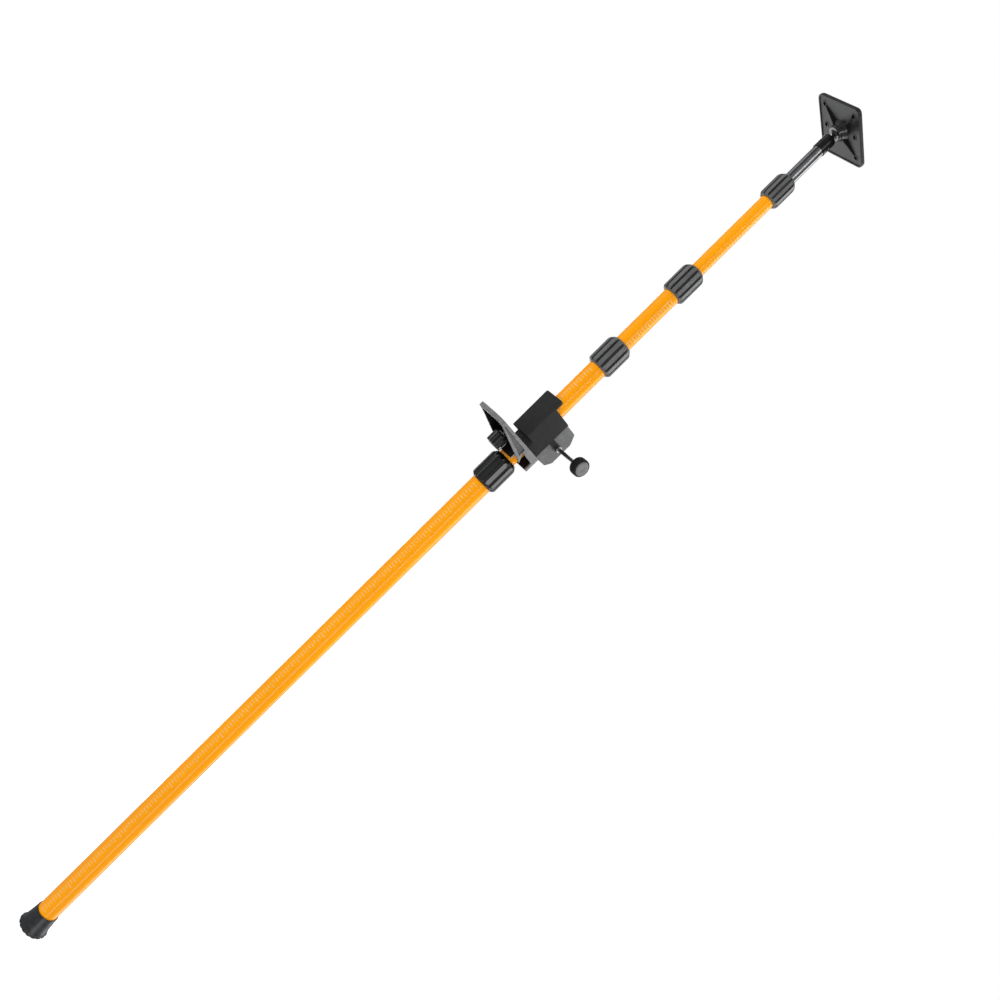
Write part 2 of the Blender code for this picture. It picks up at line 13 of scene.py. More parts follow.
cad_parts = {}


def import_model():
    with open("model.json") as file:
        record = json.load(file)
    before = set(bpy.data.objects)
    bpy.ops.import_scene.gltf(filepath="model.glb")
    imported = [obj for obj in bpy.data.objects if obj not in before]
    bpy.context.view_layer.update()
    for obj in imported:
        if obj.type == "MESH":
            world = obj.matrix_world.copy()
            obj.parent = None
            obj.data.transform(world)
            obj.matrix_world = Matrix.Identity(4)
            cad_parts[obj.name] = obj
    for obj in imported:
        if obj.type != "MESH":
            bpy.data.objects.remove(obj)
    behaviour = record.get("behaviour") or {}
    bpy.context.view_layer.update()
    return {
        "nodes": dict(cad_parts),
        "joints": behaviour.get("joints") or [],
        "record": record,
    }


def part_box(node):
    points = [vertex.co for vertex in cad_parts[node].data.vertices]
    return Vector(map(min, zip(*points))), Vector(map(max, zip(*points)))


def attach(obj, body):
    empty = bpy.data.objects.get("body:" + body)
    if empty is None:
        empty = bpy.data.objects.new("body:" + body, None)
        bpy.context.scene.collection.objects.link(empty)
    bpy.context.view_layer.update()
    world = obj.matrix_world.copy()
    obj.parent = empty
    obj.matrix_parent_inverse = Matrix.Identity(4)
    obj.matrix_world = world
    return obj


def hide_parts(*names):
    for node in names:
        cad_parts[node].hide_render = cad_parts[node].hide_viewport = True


MM = 0.001
TURN = 2 * math.pi
GAP = 0.3

# The picture: the pole leans to the right, seen from between its front (-Y) and its knob side (+X).
VIEW_AZIMUTH = math.radians(45.0)
VIEW_DISTANCE = 1.2087
VIEW_SIDE = 0.0354
VIEW_HEIGHT = 0.898
POLE_LEAN = math.radians(45.37)
LENS = 30.6

TUBES = ("outer_tube", "second_tube", "third_tube", "fourth_tube")
TUBE_BODIES = ("base", "stage_2", "stage_3", "stage_4")
TUBE_WALL = 1.0

# Printed scale: where its middle is around each tube, in degrees from +X, and the size of its marks.
SCALE_AZIMUTHS = (-62.0, -68.0, -8.0, 15.0)
MARK_PITCH = 5.0
MARK_HEIGHT = 1.5
MARK_LENGTH = 9.0
MARK_PROUD = 0.06

COLLAR_RIBS = 12
COLLAR_DEPTH = 1.5
COLLAR_TURNS = (-12.0, -9.0, -10.0, -5.0)
FOOT_TEETH = 16

# Ribbed rings: how many points a rib has, and which of its faces belong to the groove.
RIB_POINTS = 12
GROOVE_SIDES = (0, 1, 2, 11)

ROD_RADIUS = 8.9
ROD_BORE = 7.6
ROD_GROOVES = 6
ROD_GROOVE_POINTS = 20
ROD_FIRST_GROOVE = -8.0

# The ceiling plate in its own level frame, whose origin is the ball's centre.
PLATE_HALF = 44.5
PLATE_CORNER = 10.0
PLATE_UNDER = 6.5
PLATE_TOP = 9.5
HOLE_PLACE = 31.5
HOLE_RADIUS = 3.1
BALL_SEAT = 7.0 + GAP
RETAINER_POCKET = 8.9
CUP_RADIUS = 16.9

# The clamp bracket: where its block ends behind, half its slit, and its screw's holes and thread.
BLOCK_BACK = 21.0
CLAMP_SLIT = 1.5
SCREW_HOLE = 3.1
SCREW_RADIUS = 2.75
THREAD_END = -4.0

PLATFORM_WALL = 3.0
WEB_DEPTH = 1.5

# A quarter-inch thread has 20 turns to the inch.
INCH_PITCH = 1.27


# ---------------------------------------------------------------- mesh helpers


def edges(node):
    """Lowest and highest corner of a CAD node, in millimetres."""
    low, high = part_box(node)
    return low / MM, high / MM


def mesh_object(name, bm):
    """Makes an object in metres from a mesh drawn in millimetres."""
    bmesh.ops.recalc_face_normals(bm, faces=bm.faces)
    bmesh.ops.scale(bm, verts=bm.verts, vec=(MM, MM, MM))
    mesh = bpy.data.meshes.new(name)
    bm.to_mesh(mesh)
    bm.free()
    obj = bpy.data.objects.new(name, mesh)
    bpy.context.scene.collection.objects.link(obj)
    return obj


def smooth(obj, angle=32.0):
    obj.data.shade_smooth()
    obj.data.set_sharp_from_angle(angle=math.radians(angle))
    return obj


def add_piece(obj, surface, slot, body, *nodes, others=()):
    """Gives a piece its material and its body, and lets it stand for CAD nodes."""
    obj.data.materials.append(surface)
    for other in others:
        obj.data.materials.append(other)
    if nodes:
        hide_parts(*nodes)
    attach(obj, body)
    return obj


def loft(rings, hollow=False, into=None):
    """Joins rings of points side by side. A hollow loft closes on itself, any other gets end caps."""
    bm = into or bmesh.new()
    rows = [[bm.verts.new(point) for point in ring] for ring in rings]
    pairs = list(zip(rows, rows[1:]))
    if hollow:
        pairs.append((rows[-1], rows[0]))
    for low, high in pairs:
        for i in range(len(low)):
            j = (i + 1) % len(low)
            bm.faces.new((low[i], low[j], high[j], high[i]))
    if not hollow:
        bm.faces.new(rows[0])
        bm.faces.new(rows[-1])
    return bm


def soften(points, radius, steps=4):
    """Rounds every corner of a closed outline. A point may carry its own radius as a third value."""
    softened = []
    count = len(points)
    for i, point in enumerate(points):
        here = Vector(point[:2])
        reach = point[2] if len(point) > 2 else radius
        back = Vector(points[i - 1][:2]) - here
        ahead = Vector(points[(i + 1) % count][:2]) - here
        reach = min(reach, 0.45 * back.length, 0.45 * ahead.length)
        if reach < 0.02:
            softened.append(here)
            continue
        start = here + back.normalized() * reach
        end = here + ahead.normalized() * reach
        for step in range(steps + 1):
            t = step / steps
            softened.append(start * (1 - t) ** 2 + here * (2 * t * (1 - t)) + end * t ** 2)
    return softened


def circle(radius, z, count):
    return [Vector((radius * math.cos(TURN * i / count), radius * math.sin(TURN * i / count), z))
            for i in range(count)]


def rod(radius, low, high, count=32):
    """A plain cylinder about Z, used as a cutter."""
    return loft([circle(radius, low, count), circle(radius, high, count)])


def turned(profile, count=96, hollow=True, soft=0.0):
    """A solid of revolution about Z from (radius, height) points."""
    if soft:
        profile = soften(profile, soft, 3)
    return loft([circle(p[0], p[1], count) for p in profile], hollow)


def moved(bm, matrix):
    bmesh.ops.transform(bm, matrix=matrix, verts=bm.verts)
    return bm


def around_x(bm, y, z):
    """Lays a shape made around Z along X, through the given height."""
    return moved(bm, Matrix.Translation((0.0, y, z)) @ Matrix.Rotation(math.pi / 2, 4, "Y"))


def inset(outline, amount, radius):
    """Moves a closed outline of corners inwards, and keeps its rounding concentric."""
    count = len(outline)
    area = sum(outline[i - 1][0] * outline[i][1] - outline[i][0] * outline[i - 1][1] for i in range(count))
    side = 1.0 if area > 0 else -1.0
    result = []
    for i in range(count):
        here = Vector(outline[i][:2])
        before = (here - Vector(outline[i - 1][:2])).normalized()
        after = (Vector(outline[(i + 1) % count][:2]) - here).normalized()
        normal = Vector((-(before.y + after.y), before.x + after.x)).normalized() * side
        cosine = max(0.3, normal.dot(Vector((-before.y, before.x)) * side))
        bend = 1.0 if before.cross(after) * side > 0 else -1.0
        own = outline[i][2] if len(outline[i]) > 2 else radius
        place = here + normal * (amount / cosine)
        result.append((place.x, place.y, max(0.12, own - bend * amount)))
    return result


AXES = {
    "Z": lambda a, b, level: Vector((a, b, level)),
    "X": lambda a, b, level: Vector((level, a, b)),
    "Y": lambda a, b, level: Vector((a, level, b)),
}


def slab(corners, low, high, axis="Z", edge=0.6, radius=1.0, steps=4):
    """Extrudes corners as (x, y), (y, z) or (x, z), rounding its upright corners and its two rims."""
    place = AXES[axis]
    rims = ((edge, 0.0), (0.5 * edge, 0.134 * edge), (0.134 * edge, 0.5 * edge), (0.0, edge))
    if not edge:
        rims = ((0.0, 0.0),)
    levels = [(inwards, low + up) for inwards, up in rims]
    levels += [(inwards, high - up) for inwards, up in reversed(rims)]
    rings = []
    for inwards, level in levels:
        outline = soften(inset(corners, inwards, radius), radius, steps)
        rings.append([place(a, b, level) for a, b in outline])
    return loft(rings)


def bake(obj):
    """Turns an object's modifiers into its mesh."""
    graph = bpy.context.evaluated_depsgraph_get()
    baked = bpy.data.meshes.new_from_object(obj.evaluated_get(graph))
    obj.modifiers.clear()
    obj.data = baked


def combined(name, base, *others):
    """Joins and cuts: others are (bmesh, operation) pairs, applied in order to the base."""
    obj = mesh_object(name, base)
    helpers = []
    for k, (bm, operation) in enumerate(others):
        helper = mesh_object(f"{name}_{k}", bm)
        modifier = obj.modifiers.new(f"join_{k}", "BOOLEAN")
        modifier.operation = operation
        modifier.solver = "EXACT"
        modifier.object = helper
        helpers.append(helper)
    bake(obj)
    for helper in helpers:
        bpy.data.objects.remove(helper, do_unlink=True)
    smooth(obj, 40.0)
    obj.modifiers.new("weighted", "WEIGHTED_NORMAL").keep_sharp = True
    bake(obj)
    return obj


def ribbed(radius, depth, ribs, z, groove=0.3, wall=0.08):
    """A ring of flat-topped ribs and steep grooves, 12 points to a rib. A groove is centred on +X."""
    half = groove / 2
    start, end = half + wall, 1.0 - half - wall
    shape = [(-half, 1.0), (0.0, 1.0), (half, 1.0), (half + 0.4 * wall, 0.72), (half + 0.8 * wall, 0.1)]
    shape += [(start + (end - start) * k / 4, 0.0) for k in range(5)]
    shape += [(end + 0.2 * wall, 0.1), (end + 0.6 * wall, 0.72)]
    middle = TURN / ribs / 2
    flat = math.cos(TURN / ribs * (end - start) / 2)
    ring = []
    for rib in range(ribs):
        for at, dip in shape:
            angle = TURN * at / ribs
            across = radius - depth * dip
            if not dip:
                across = radius * flat / math.cos(angle - middle)
            angle += TURN * rib / ribs
            ring.append(Vector((across * math.cos(angle), across * math.sin(angle), z)))
    return ring


def scalloped(radius, depth, ribs, z, points=8):
    """A ring of rounded ribs and rounded valleys."""
    ring = []
    for i in range(ribs * points):
        angle = TURN * i / ribs / points
        across = radius - depth * (0.5 + 0.5 * math.cos(TURN * i / points))
        ring.append(Vector((across * math.cos(angle), across * math.sin(angle), z)))
    return ring


def shade_grooves(obj, count, first, last, sides, points):
    """Gives the second material to the groove faces of the rings from first to last. On the collars and the
    rod it is darker: painted shade in the grooves.
    """
    for ring in range(first, last):
        for i in range(count):
            if i % points in sides:
                obj.data.polygons[ring * count + i].material_index = 1


# ---------------------------------------------------------------- materials


class Surface:
    """A Principled material with noise-driven colour, roughness and bump in object coordinates."""

    def __init__(self, name, roughness, metallic=0.0, **sockets):
        self.material = bpy.data.materials.new(name)
        self.material.use_nodes = True
        self.nodes = self.material.node_tree.nodes
        self.links = self.material.node_tree.links
        self.shader = self.nodes["Principled BSDF"]
        self.shader.inputs["Roughness"].default_value = roughness
        self.shader.inputs["Metallic"].default_value = metallic
        for socket, value in sockets.items():
            self.shader.inputs[socket.replace("_", " ")].default_value = value
        self.coordinates = self.nodes.new("ShaderNodeTexCoord")
        self.height = None

    def noise(self, size, detail=4.0, stretch=(1.0, 1.0, 1.0)):
        """A cloudy pattern whose blobs are about size millimetres across."""
        mapping = self.nodes.new("ShaderNodeMapping")
        mapping.inputs["Scale"].default_value = stretch
        texture = self.nodes.new("ShaderNodeTexNoise")
        texture.inputs["Scale"].default_value = 1.0 / (size * MM)
        texture.inputs["Detail"].default_value = detail
        self.links.new(self.coordinates.outputs["Object"], mapping.inputs["Vector"])
        self.links.new(mapping.outputs["Vector"], texture.inputs["Vector"])
        return texture.outputs["Fac"]

    def colours(self, pattern, dark, light, start=0.35, end=0.65):
        ramp = self.nodes.new("ShaderNodeValToRGB")
        ramp.color_ramp.elements[0].position = start
        ramp.color_ramp.elements[1].position = end
        ramp.color_ramp.elements[0].color = (*dark, 1.0)
        ramp.color_ramp.elements[1].color = (*light, 1.0)
        self.links.new(pattern, ramp.inputs["Fac"])
        self.links.new(ramp.outputs["Color"], self.shader.inputs["Base Color"])

    def rough(self, pattern, low, high):
        spread = self.nodes.new("ShaderNodeMapRange")
        spread.inputs["From Min"].default_value = 0.3
        spread.inputs["From Max"].default_value = 0.7
        spread.inputs["To Min"].default_value = low
        spread.inputs["To Max"].default_value = high
        self.links.new(pattern, spread.inputs["Value"])
        self.links.new(spread.outputs["Result"], self.shader.inputs["Roughness"])

    def bump(self, pattern, height, strength=1.0):
        """Relief of about height millimetres. Calls add up."""
        relief = self.nodes.new("ShaderNodeBump")
        relief.inputs["Strength"].default_value = strength
        relief.inputs["Distance"].default_value = height * MM
        self.links.new(pattern, relief.inputs["Height"])
        if self.height:
            self.links.new(self.height, relief.inputs["Normal"])
        self.height = relief.outputs["Normal"]
        self.links.new(self.height, self.shader.inputs["Normal"])


def orange_paint():
    """Satin coat over drawn tube: faint lengthwise draw lines and an even colour."""
    paint = Surface("orange_paint", 0.2, Specular_IOR_Level=0.2)
    clouds = paint.noise(60.0, 3.0, (1.0, 1.0, 0.35))
    lines = paint.noise(0.9, 3.0, (1.0, 1.0, 0.004))
    peel = paint.noise(0.8, 2.0)
    paint.colours(clouds, (0.9, 0.325, 0.0003), (0.94, 0.348, 0.0006))
    paint.rough(lines, 0.15, 0.22)
    paint.bump(lines, 0.004, 0.3)
    paint.bump(peel, 0.003, 0.3)
    return paint.material


def moulded_plastic(name, dark, light, roughness, grain=0.01, specular=0.5):
    """Injection-moulded plastic with a fine spark-eroded texture."""
    plastic = Surface(name, roughness, Specular_IOR_Level=specular)
    clouds = plastic.noise(14.0, 3.0)
    texture = plastic.noise(0.45, 2.0)
    plastic.colours(clouds, dark, light)
    plastic.rough(texture, roughness - 0.05, roughness + 0.07)
    plastic.bump(texture, grain, 0.35)
    return plastic.material


def foot_rubber():
    """Dense black rubber with faint scuffs."""
    rubber = Surface("foot_rubber", 0.42, Specular_IOR_Level=0.45)
    scuffs = rubber.noise(5.0, 5.0)
    texture = rubber.noise(0.6, 3.0)
    rubber.colours(scuffs, (0.009, 0.01, 0.011), (0.017, 0.018, 0.02))
    rubber.rough(scuffs, 0.34, 0.48)
    rubber.bump(texture, 0.02, 0.4)
    return rubber.material


def pad_rubber():
    """Matt, dusty sheet rubber."""
    rubber = Surface("pad_rubber", 0.75, Specular_IOR_Level=0.35)
    dust = rubber.noise(8.0, 5.0)
    texture = rubber.noise(0.5, 3.0)
    rubber.colours(dust, (0.02, 0.02, 0.021), (0.036, 0.036, 0.037))
    rubber.bump(texture, 0.08, 0.7)
    return rubber.material


def drawn_metal(name, dark, light, low, high, stretch, metallic=1.0):
    """Bare or anodised metal, brushed along the direction that stretch shortens."""
    metal = Surface(name, low, metallic)
    lines = metal.noise(0.5, 3.0, stretch)
    clouds = metal.noise(10.0, 3.0)
    metal.colours(clouds, dark, light)
    metal.rough(lines, low, high)
    metal.bump(lines, 0.003, 0.3)
    return metal.material


def casting(name, dark, light, roughness, specular=0.5):
    """A satin coat on a die casting, with slight orange peel and paler, rubbed patches."""
    coat = Surface(name, roughness, Specular_IOR_Level=specular)
    clouds = coat.noise(9.0, 5.0)
    peel = coat.noise(0.7, 2.0)
    coat.colours(clouds, dark, light)
    coat.rough(clouds, roughness - 0.06, roughness + 0.08)
    coat.bump(peel, 0.015, 0.35)
    return coat.material


def mark_ink():
    """Pale, worn printing, little brighter than the paint under it."""
    ink = Surface("mark_ink", 0.5)
    wear = ink.noise(3.0, 5.0)
    ink.colours(wear, (0.72, 0.36, 0.07), (0.8, 0.5, 0.2))
    return ink.material


def grey(value):
    return (value, value, value * 1.02)


def make_surfaces():
    return {
        "orange": orange_paint(),
        "ink": mark_ink(),
        # Painted light and painted shade: collars 2 to 4 take a lighter copy and collar 1 a darker copy of
        # the same black plastic, for how the lamps fall on each.
        "collar": moulded_plastic("black_collar", grey(0.088), grey(0.11), 0.34, specular=0.38),
        "collar_shaded": moulded_plastic("collar_painted_shade", grey(0.003), grey(0.006), 0.2, specular=0.62),
        # Painted shade: a near-black for the groove faces, where the grooves lie in shade.
        "groove": moulded_plastic("groove_painted_shade", grey(0.008), grey(0.012), 0.5, specular=0.3),
        "ribs": moulded_plastic("knob_ribs", grey(0.006), grey(0.01), 0.16, specular=1.0),
        "inner": moulded_plastic("inner_plastic", (0.62, 0.61, 0.57), (0.7, 0.69, 0.65), 0.45),
        "foot": foot_rubber(),
        "pad": pad_rubber(),
        "rod": drawn_metal("dark_rod", grey(0.2), grey(0.25), 0.24, 0.34, (1.0, 1.0, 0.01)),
        # Painted shade: a darker, less metallic copy of the rod metal for its flutes, standing in for the
        # dark lines that the lamps leave along them.
        "rod_flute_painted_shade": drawn_metal("rod_flute_painted_shade", grey(0.03), grey(0.04), 0.4, 0.5, (1.0, 1.0, 0.01), 0.4),
        "head": moulded_plastic("head_plastic", grey(0.009), grey(0.015), 0.4, specular=0.22),
        "gloss": moulded_plastic("gloss_black", grey(0.008), grey(0.012), 0.18, 0.003),
        "sleeve": moulded_plastic("sleeve_plastic", grey(0.004), grey(0.006), 0.22, 0.003, 0.25),
        "steel": drawn_metal("bright_steel", grey(0.5), grey(0.62), 0.22, 0.38, (1.0, 1.0, 1.0)),
        "screw": drawn_metal("screw_steel", grey(0.2), grey(0.27), 0.25, 0.4, (0.02, 1.0, 1.0)),
        "dull": drawn_metal("dull_steel", grey(0.1), grey(0.14), 0.35, 0.5, (1.0, 1.0, 1.0)),
        "block": casting("clamp_black", grey(0.022), grey(0.027), 0.7, specular=0.08),
        # Painted light: a lighter grey copy of the clamp's black for the ears, whose sides face the key
        # light.
        "ears": casting("clamp_ears", grey(0.05), grey(0.09), 0.42),
        "knob": moulded_plastic("knob_black", grey(0.003), grey(0.006), 0.5, specular=0.2),
        "knob_face": moulded_plastic("knob_face", grey(0.07), grey(0.1), 0.42),
        "platform": casting("platform_grey", grey(0.12), grey(0.18), 0.36),
        # Painted shade: a darker grey for the recessed web panels of the flanges.
        "web": casting("platform_web_painted_shade", grey(0.06), grey(0.09), 0.45, specular=0.35),
        # Painted shade: a near-black for the faces under the deck and inside the flanges, where shade
        # falls.
        "inside": casting("platform_underside_painted_shade", grey(0.006), grey(0.01), 0.7, specular=0.15),
    }


# ---------------------------------------------------------------- the pole


def foot(surfaces):
    """A conical boot with a toothed, flared rim and a rolled upper edge."""
    _, high = edges("rubber_foot")
    _, tube = edges("outer_tube")
    bore = tube.x + GAP
    rim = high.x
    top = high.z
    count = FOOT_TEETH * RIB_POINTS
    rings = [
        ribbed(rim - 1.6, 0.7, FOOT_TEETH, 0.0),
        ribbed(rim - 0.5, 1.0, FOOT_TEETH, 0.35),
        ribbed(rim, 1.0, FOOT_TEETH, 1.2),
        ribbed(rim, 1.0, FOOT_TEETH, 2.0),
        ribbed(rim - 0.5, 0.8, FOOT_TEETH, 2.8),
        ribbed(rim - 1.5, 0.3, FOOT_TEETH, 3.8),
        circle(rim - 2.4, 5.0, count),
        circle(rim - 2.75, 6.5, count),
        circle(rim - 3.5, 12.0, count),
        circle(rim - 4.6, 22.0, count),
        circle(rim - 5.2, top - 2.4, count),
        circle(rim - 5.2, top - 0.5, count),
        circle(rim - 5.4, top - 0.1, count),
        circle(rim - 5.7, top, count),
        circle(bore + 0.2, top, count),
        circle(bore, top - 0.3, count),
        circle(bore, 6.0, count),
    ]
    obj = smooth(mesh_object("foot_boot", loft(rings)), 40.0)
    add_piece(obj, surfaces["foot"], "foot_rubber", "base", "rubber_foot")


def tube(surfaces, node, body):
    """One painted tube of the pole, open at both ends."""
    low, high = edges(node)
    radius, inner = high.x, high.x - TUBE_WALL
    profile = ((radius, low.z), (radius, high.z), (inner, high.z), (inner, low.z))
    obj = smooth(mesh_object(f"{node}_shell", turned(profile, 128, soft=0.25)))
    add_piece(obj, surfaces["orange"], "orange_paint", body, node)


def scale_marks(surfaces, stage):
    """Printed marks every 5 mm, longer at each 10 mm and longest at each 50 mm."""
    low, high = edges(TUBES[stage])
    radius = high.x
    middle = math.radians(SCALE_AZIMUTHS[stage])
    _, foot_top = edges("rubber_foot")
    start = foot_top.z + 6.0 if stage == 0 else low.z + 20.0
    corners = ((-MARK_PROUD, 0.0), (MARK_PROUD, 0.0), (MARK_PROUD, MARK_HEIGHT), (-MARK_PROUD, MARK_HEIGHT))
    bm = bmesh.new()
    for k in range(int((high.z - 24.0 - start) / MARK_PITCH)):
        z = start + k * MARK_PITCH
        share = 1.0 if k % 10 == 0 else 0.82 if k % 2 == 0 else 0.62
        left = middle - 0.5 * MARK_LENGTH / radius
        sweep = share * MARK_LENGTH / radius
        rings = []
        for step in range(7):
            angle = left + sweep * step / 6
            ring = []
            for reach, up in corners:
                across = radius + reach
                ring.append(Vector((across * math.cos(angle), across * math.sin(angle), z + up)))
            rings.append(ring)
        loft(rings, into=bm)
    obj = smooth(mesh_object(f"{TUBES[stage]}_scale", bm))
    add_piece(obj, surfaces["ink"], "orange_paint", TUBE_BODIES[stage])


def collar(surfaces, stage):
    """A twist collar with broad flat ribs, rounded chamfers and a bored top."""
    node = f"lock_{stage + 1}_collar"
    low, high = edges(node)
    bottom, top = low.z, high.z
    _, tube_high = edges(TUBES[stage])
    _, inner_high = edges((TUBES + ("top_rod",))[stage + 1])
    tube_radius, through = tube_high.x, inner_high.x
    radius = max(-low.x, high.x, -low.y, high.y)
    count = COLLAR_RIBS * RIB_POINTS
    bore = tube_radius + 2.1
    rib = COLLAR_DEPTH
    bottom_lip, top_lip = tube_radius + 1.4, through + 2.2

    def between(lip, share, depth, z):
        return ribbed(lip + (radius - lip) * share, depth, COLLAR_RIBS, z)

    rings = [
        circle(bottom_lip - 0.4, bottom, count),
        circle(bottom_lip, bottom + 0.15, count),
        between(bottom_lip, 0.45, 0.25 * rib, bottom + 1.6),
        between(bottom_lip, 0.84, 0.7 * rib, bottom + 3.2),
        between(bottom_lip, 0.965, 0.95 * rib, bottom + 4.4),
        between(bottom_lip, 1.0, rib, bottom + 5.8),
        between(top_lip, 1.0, rib, top - 8.6),
        between(top_lip, 0.97, 0.95 * rib, top - 7.0),
        between(top_lip, 0.86, 0.72 * rib, top - 5.2),
        between(top_lip, 0.45, 0.3 * rib, top - 2.6),
        circle(top_lip + 0.25, top - 0.5, count),
        circle(top_lip - 0.15, top, count),
        circle(through + 0.7, top, count),
        circle(through + 0.5, top - 0.3, count),
        circle(through + 0.5, top - 3.0, count),
        circle(bore, top - 5.5, count),
        circle(bore, bottom + 2.4, count),
        circle(tube_radius + 0.4, bottom + 2.4, count),
        circle(tube_radius + 0.4, bottom + 0.2, count),
        circle(tube_radius + 0.6, bottom, count),
    ]
    turn = Matrix.Rotation(math.radians(COLLAR_TURNS[stage]), 4, "Z")
    obj = smooth(mesh_object(f"collar_{stage + 1}_grip", moved(loft(rings, hollow=True), turn)), 46.0)
    # The groove faces take the near-black second material: painted shade in the grooves.
    shade_grooves(obj, count, 2, 9, GROOVE_SIDES, RIB_POINTS)
    # Collar 1 takes the darker copy, painted shade, and collars 2 to 4 the lighter copy, painted light.
    tone = surfaces["collar_shaded" if stage == 0 else "collar"]
    add_piece(obj, tone, "black_collar", f"collar_{stage + 1}", node, others=(surfaces["groove"],))


def fluted_rod(surfaces):
    """A round tube with narrow grooves along it."""
    low, high = edges("top_rod")
    points = ROD_GROOVE_POINTS
    count = ROD_GROOVES * points
    first = math.radians(ROD_FIRST_GROOVE)
    dips = {0: 0.6, 1: 0.6, 2: 0.5, 3: 0.1, points - 1: 0.6, points - 2: 0.5, points - 3: 0.1}

    def fluted(z, inwards=0.0):
        ring = []
        for i in range(count):
            angle = first + TURN * i / ROD_GROOVES / points
            across = ROD_RADIUS - dips.get(i % points, 0.0) - inwards
            ring.append(Vector((across * math.cos(angle), across * math.sin(angle), z)))
        return ring

    rings = [
        fluted(low.z, 0.2),
        fluted(low.z + 0.3),
        fluted(high.z - 0.3),
        fluted(high.z, 0.2),
        circle(ROD_BORE, high.z, count),
        circle(ROD_BORE, low.z, count),
    ]
    obj = smooth(mesh_object("top_rod_shell", loft(rings, hollow=True)))
    # The flute faces take the darker second material: painted shade in the flutes.
    shade_grooves(obj, count, 0, 3, (0, 1, 2, points - 3, points - 2, points - 1), points)
    add_piece(obj, surfaces["rod"], "dark_rod", "rod", "top_rod", others=(surfaces["rod_flute_painted_shade"],))


def end_sleeve(surfaces):
    """A cap over the rod's end with a rolled rim and a shallow band around it."""
    low, high = edges("rod_end_sleeve")
    _, rod_high = edges("top_rod")
    outer = high.x
    skirt = outer - 0.7
    neck = 3.7
    band = outer - 0.35
    bottom, top = low.z, high.z
    roof = rod_high.z + GAP
    profile = (
        (neck, top), (outer - 1.6, top, 0.5), (outer, top - 2.0, 0.9),
        (outer, bottom + 9.6, 0.2), (band, bottom + 9.2, 0.2),
        (band, bottom + 8.4, 0.2), (outer, bottom + 8.0, 0.2),
        (outer, bottom, 0.35), (skirt, bottom, 0.15), (skirt, roof, 0.1), (neck, roof, 0.1),
    )
    obj = smooth(mesh_object("rod_end_cap", turned(profile, 96, soft=0.2)))
    add_piece(obj, surfaces["sleeve"], "head_plastic", "rod", "rod_end_sleeve")


# ---------------------------------------------------------------- ceiling head


def plate_pose():
    """Where the plate's own level frame stands: its origin is the ball's centre."""
    joint = next(j for j in frame["joints"] if j["name"] == "ceiling_plate_tilt")
    mount = next(m for m in frame["record"]["mounts"] if m["name"] == "ceiling_face")
    normal = Vector(mount["axis"]).normalized()
    turn = Vector((0.0, 0.0, 1.0)).rotation_difference(normal).to_matrix().to_4x4()
    return Matrix.Translation(Vector(joint["pos_m"]) / MM) @ turn


def square(half):
    return [(half, half), (-half, half), (-half, -half), (half, -half)]


def ceiling_plate(surfaces):
    """The plate's underside shows: a rim, a cross of ribs and six holes with raised seats."""
    pose = plate_pose()
    under, top = PLATE_UNDER, PLATE_TOP
    base = slab(square(PLATE_HALF), under - 1.0, top, edge=0.5, radius=PLATE_CORNER, steps=8)
    tray = slab(square(PLATE_HALF - 2.2), under - 3.0, under, edge=0.0, radius=PLATE_CORNER - 1.6, steps=8)
    steps = [(moved(tray, pose), "DIFFERENCE")]
    reach = HOLE_PLACE * math.sqrt(2) - 3.5
    side = [(9.5, 0.5), (13.0, 1.5), (reach, under - 1.4), (reach, under + 1.0), (9.5, under + 1.0)]
    for k in range(4):
        rib = slab(side, -1.6, 1.6, "Y", 0.35, 0.5, 2)
        turn = pose @ Matrix.Rotation(math.pi / 4 + k * math.pi / 2, 4, "Z")
        steps.append((moved(rib, turn), "UNION"))
    places = [(x, y) for x in (-HOLE_PLACE, HOLE_PLACE) for y in (-HOLE_PLACE, 0.0, HOLE_PLACE)]
    raised = ((0.01, under - 0.5), (HOLE_RADIUS + 1.4, under - 0.5, 0.3), (HOLE_RADIUS + 1.8, under + 1.0))
    for x, y in places:
        pad = turned(raised, 32, hollow=False, soft=0.2)
        steps.append((moved(pad, pose @ Matrix.Translation((x, y, 0.0))), "UNION"))
    for x, y in places:
        hole = rod(HOLE_RADIUS, 0.0, 20.0)
        steps.append((moved(hole, pose @ Matrix.Translation((x, y, 0.0))), "DIFFERENCE"))
    seat = (
        (0.01, -8.0), (BALL_SEAT, -8.0), (BALL_SEAT, top - 3.0),
        (RETAINER_POCKET, top - 3.0), (RETAINER_POCKET, top + 3.0), (0.01, top + 3.0),
    )
    steps.append((moved(turned(seat, 64, hollow=False), pose), "DIFFERENCE"))
    obj = combined("head_plate", moved(base, pose), *steps)
    add_piece(obj, surfaces["head"], "head_plastic", "plate", "ceiling_plate")


def ball_housing(surfaces):
    """The glossy conical cup around the ball, under the plate."""
    bottom, top = -3.5, PLATE_UNDER + 0.7
    outline = [
        (6.5, bottom, 0.2), (11.0, bottom, 0.9), (12.2, -1.8, 0.8), (12.8, 2.0, 2.0),
        (CUP_RADIUS, 6.4, 0.3), (CUP_RADIUS, top),
        (BALL_SEAT, top), (BALL_SEAT, 0.0), (BALL_SEAT - 0.4, -2.4),
    ]
    obj = smooth(mesh_object("head_ball_cup", moved(turned(outline, 96, soft=0.3), plate_pose())))
    add_piece(obj, surfaces["gloss"], "head_plastic", "plate", "ceiling_plate")


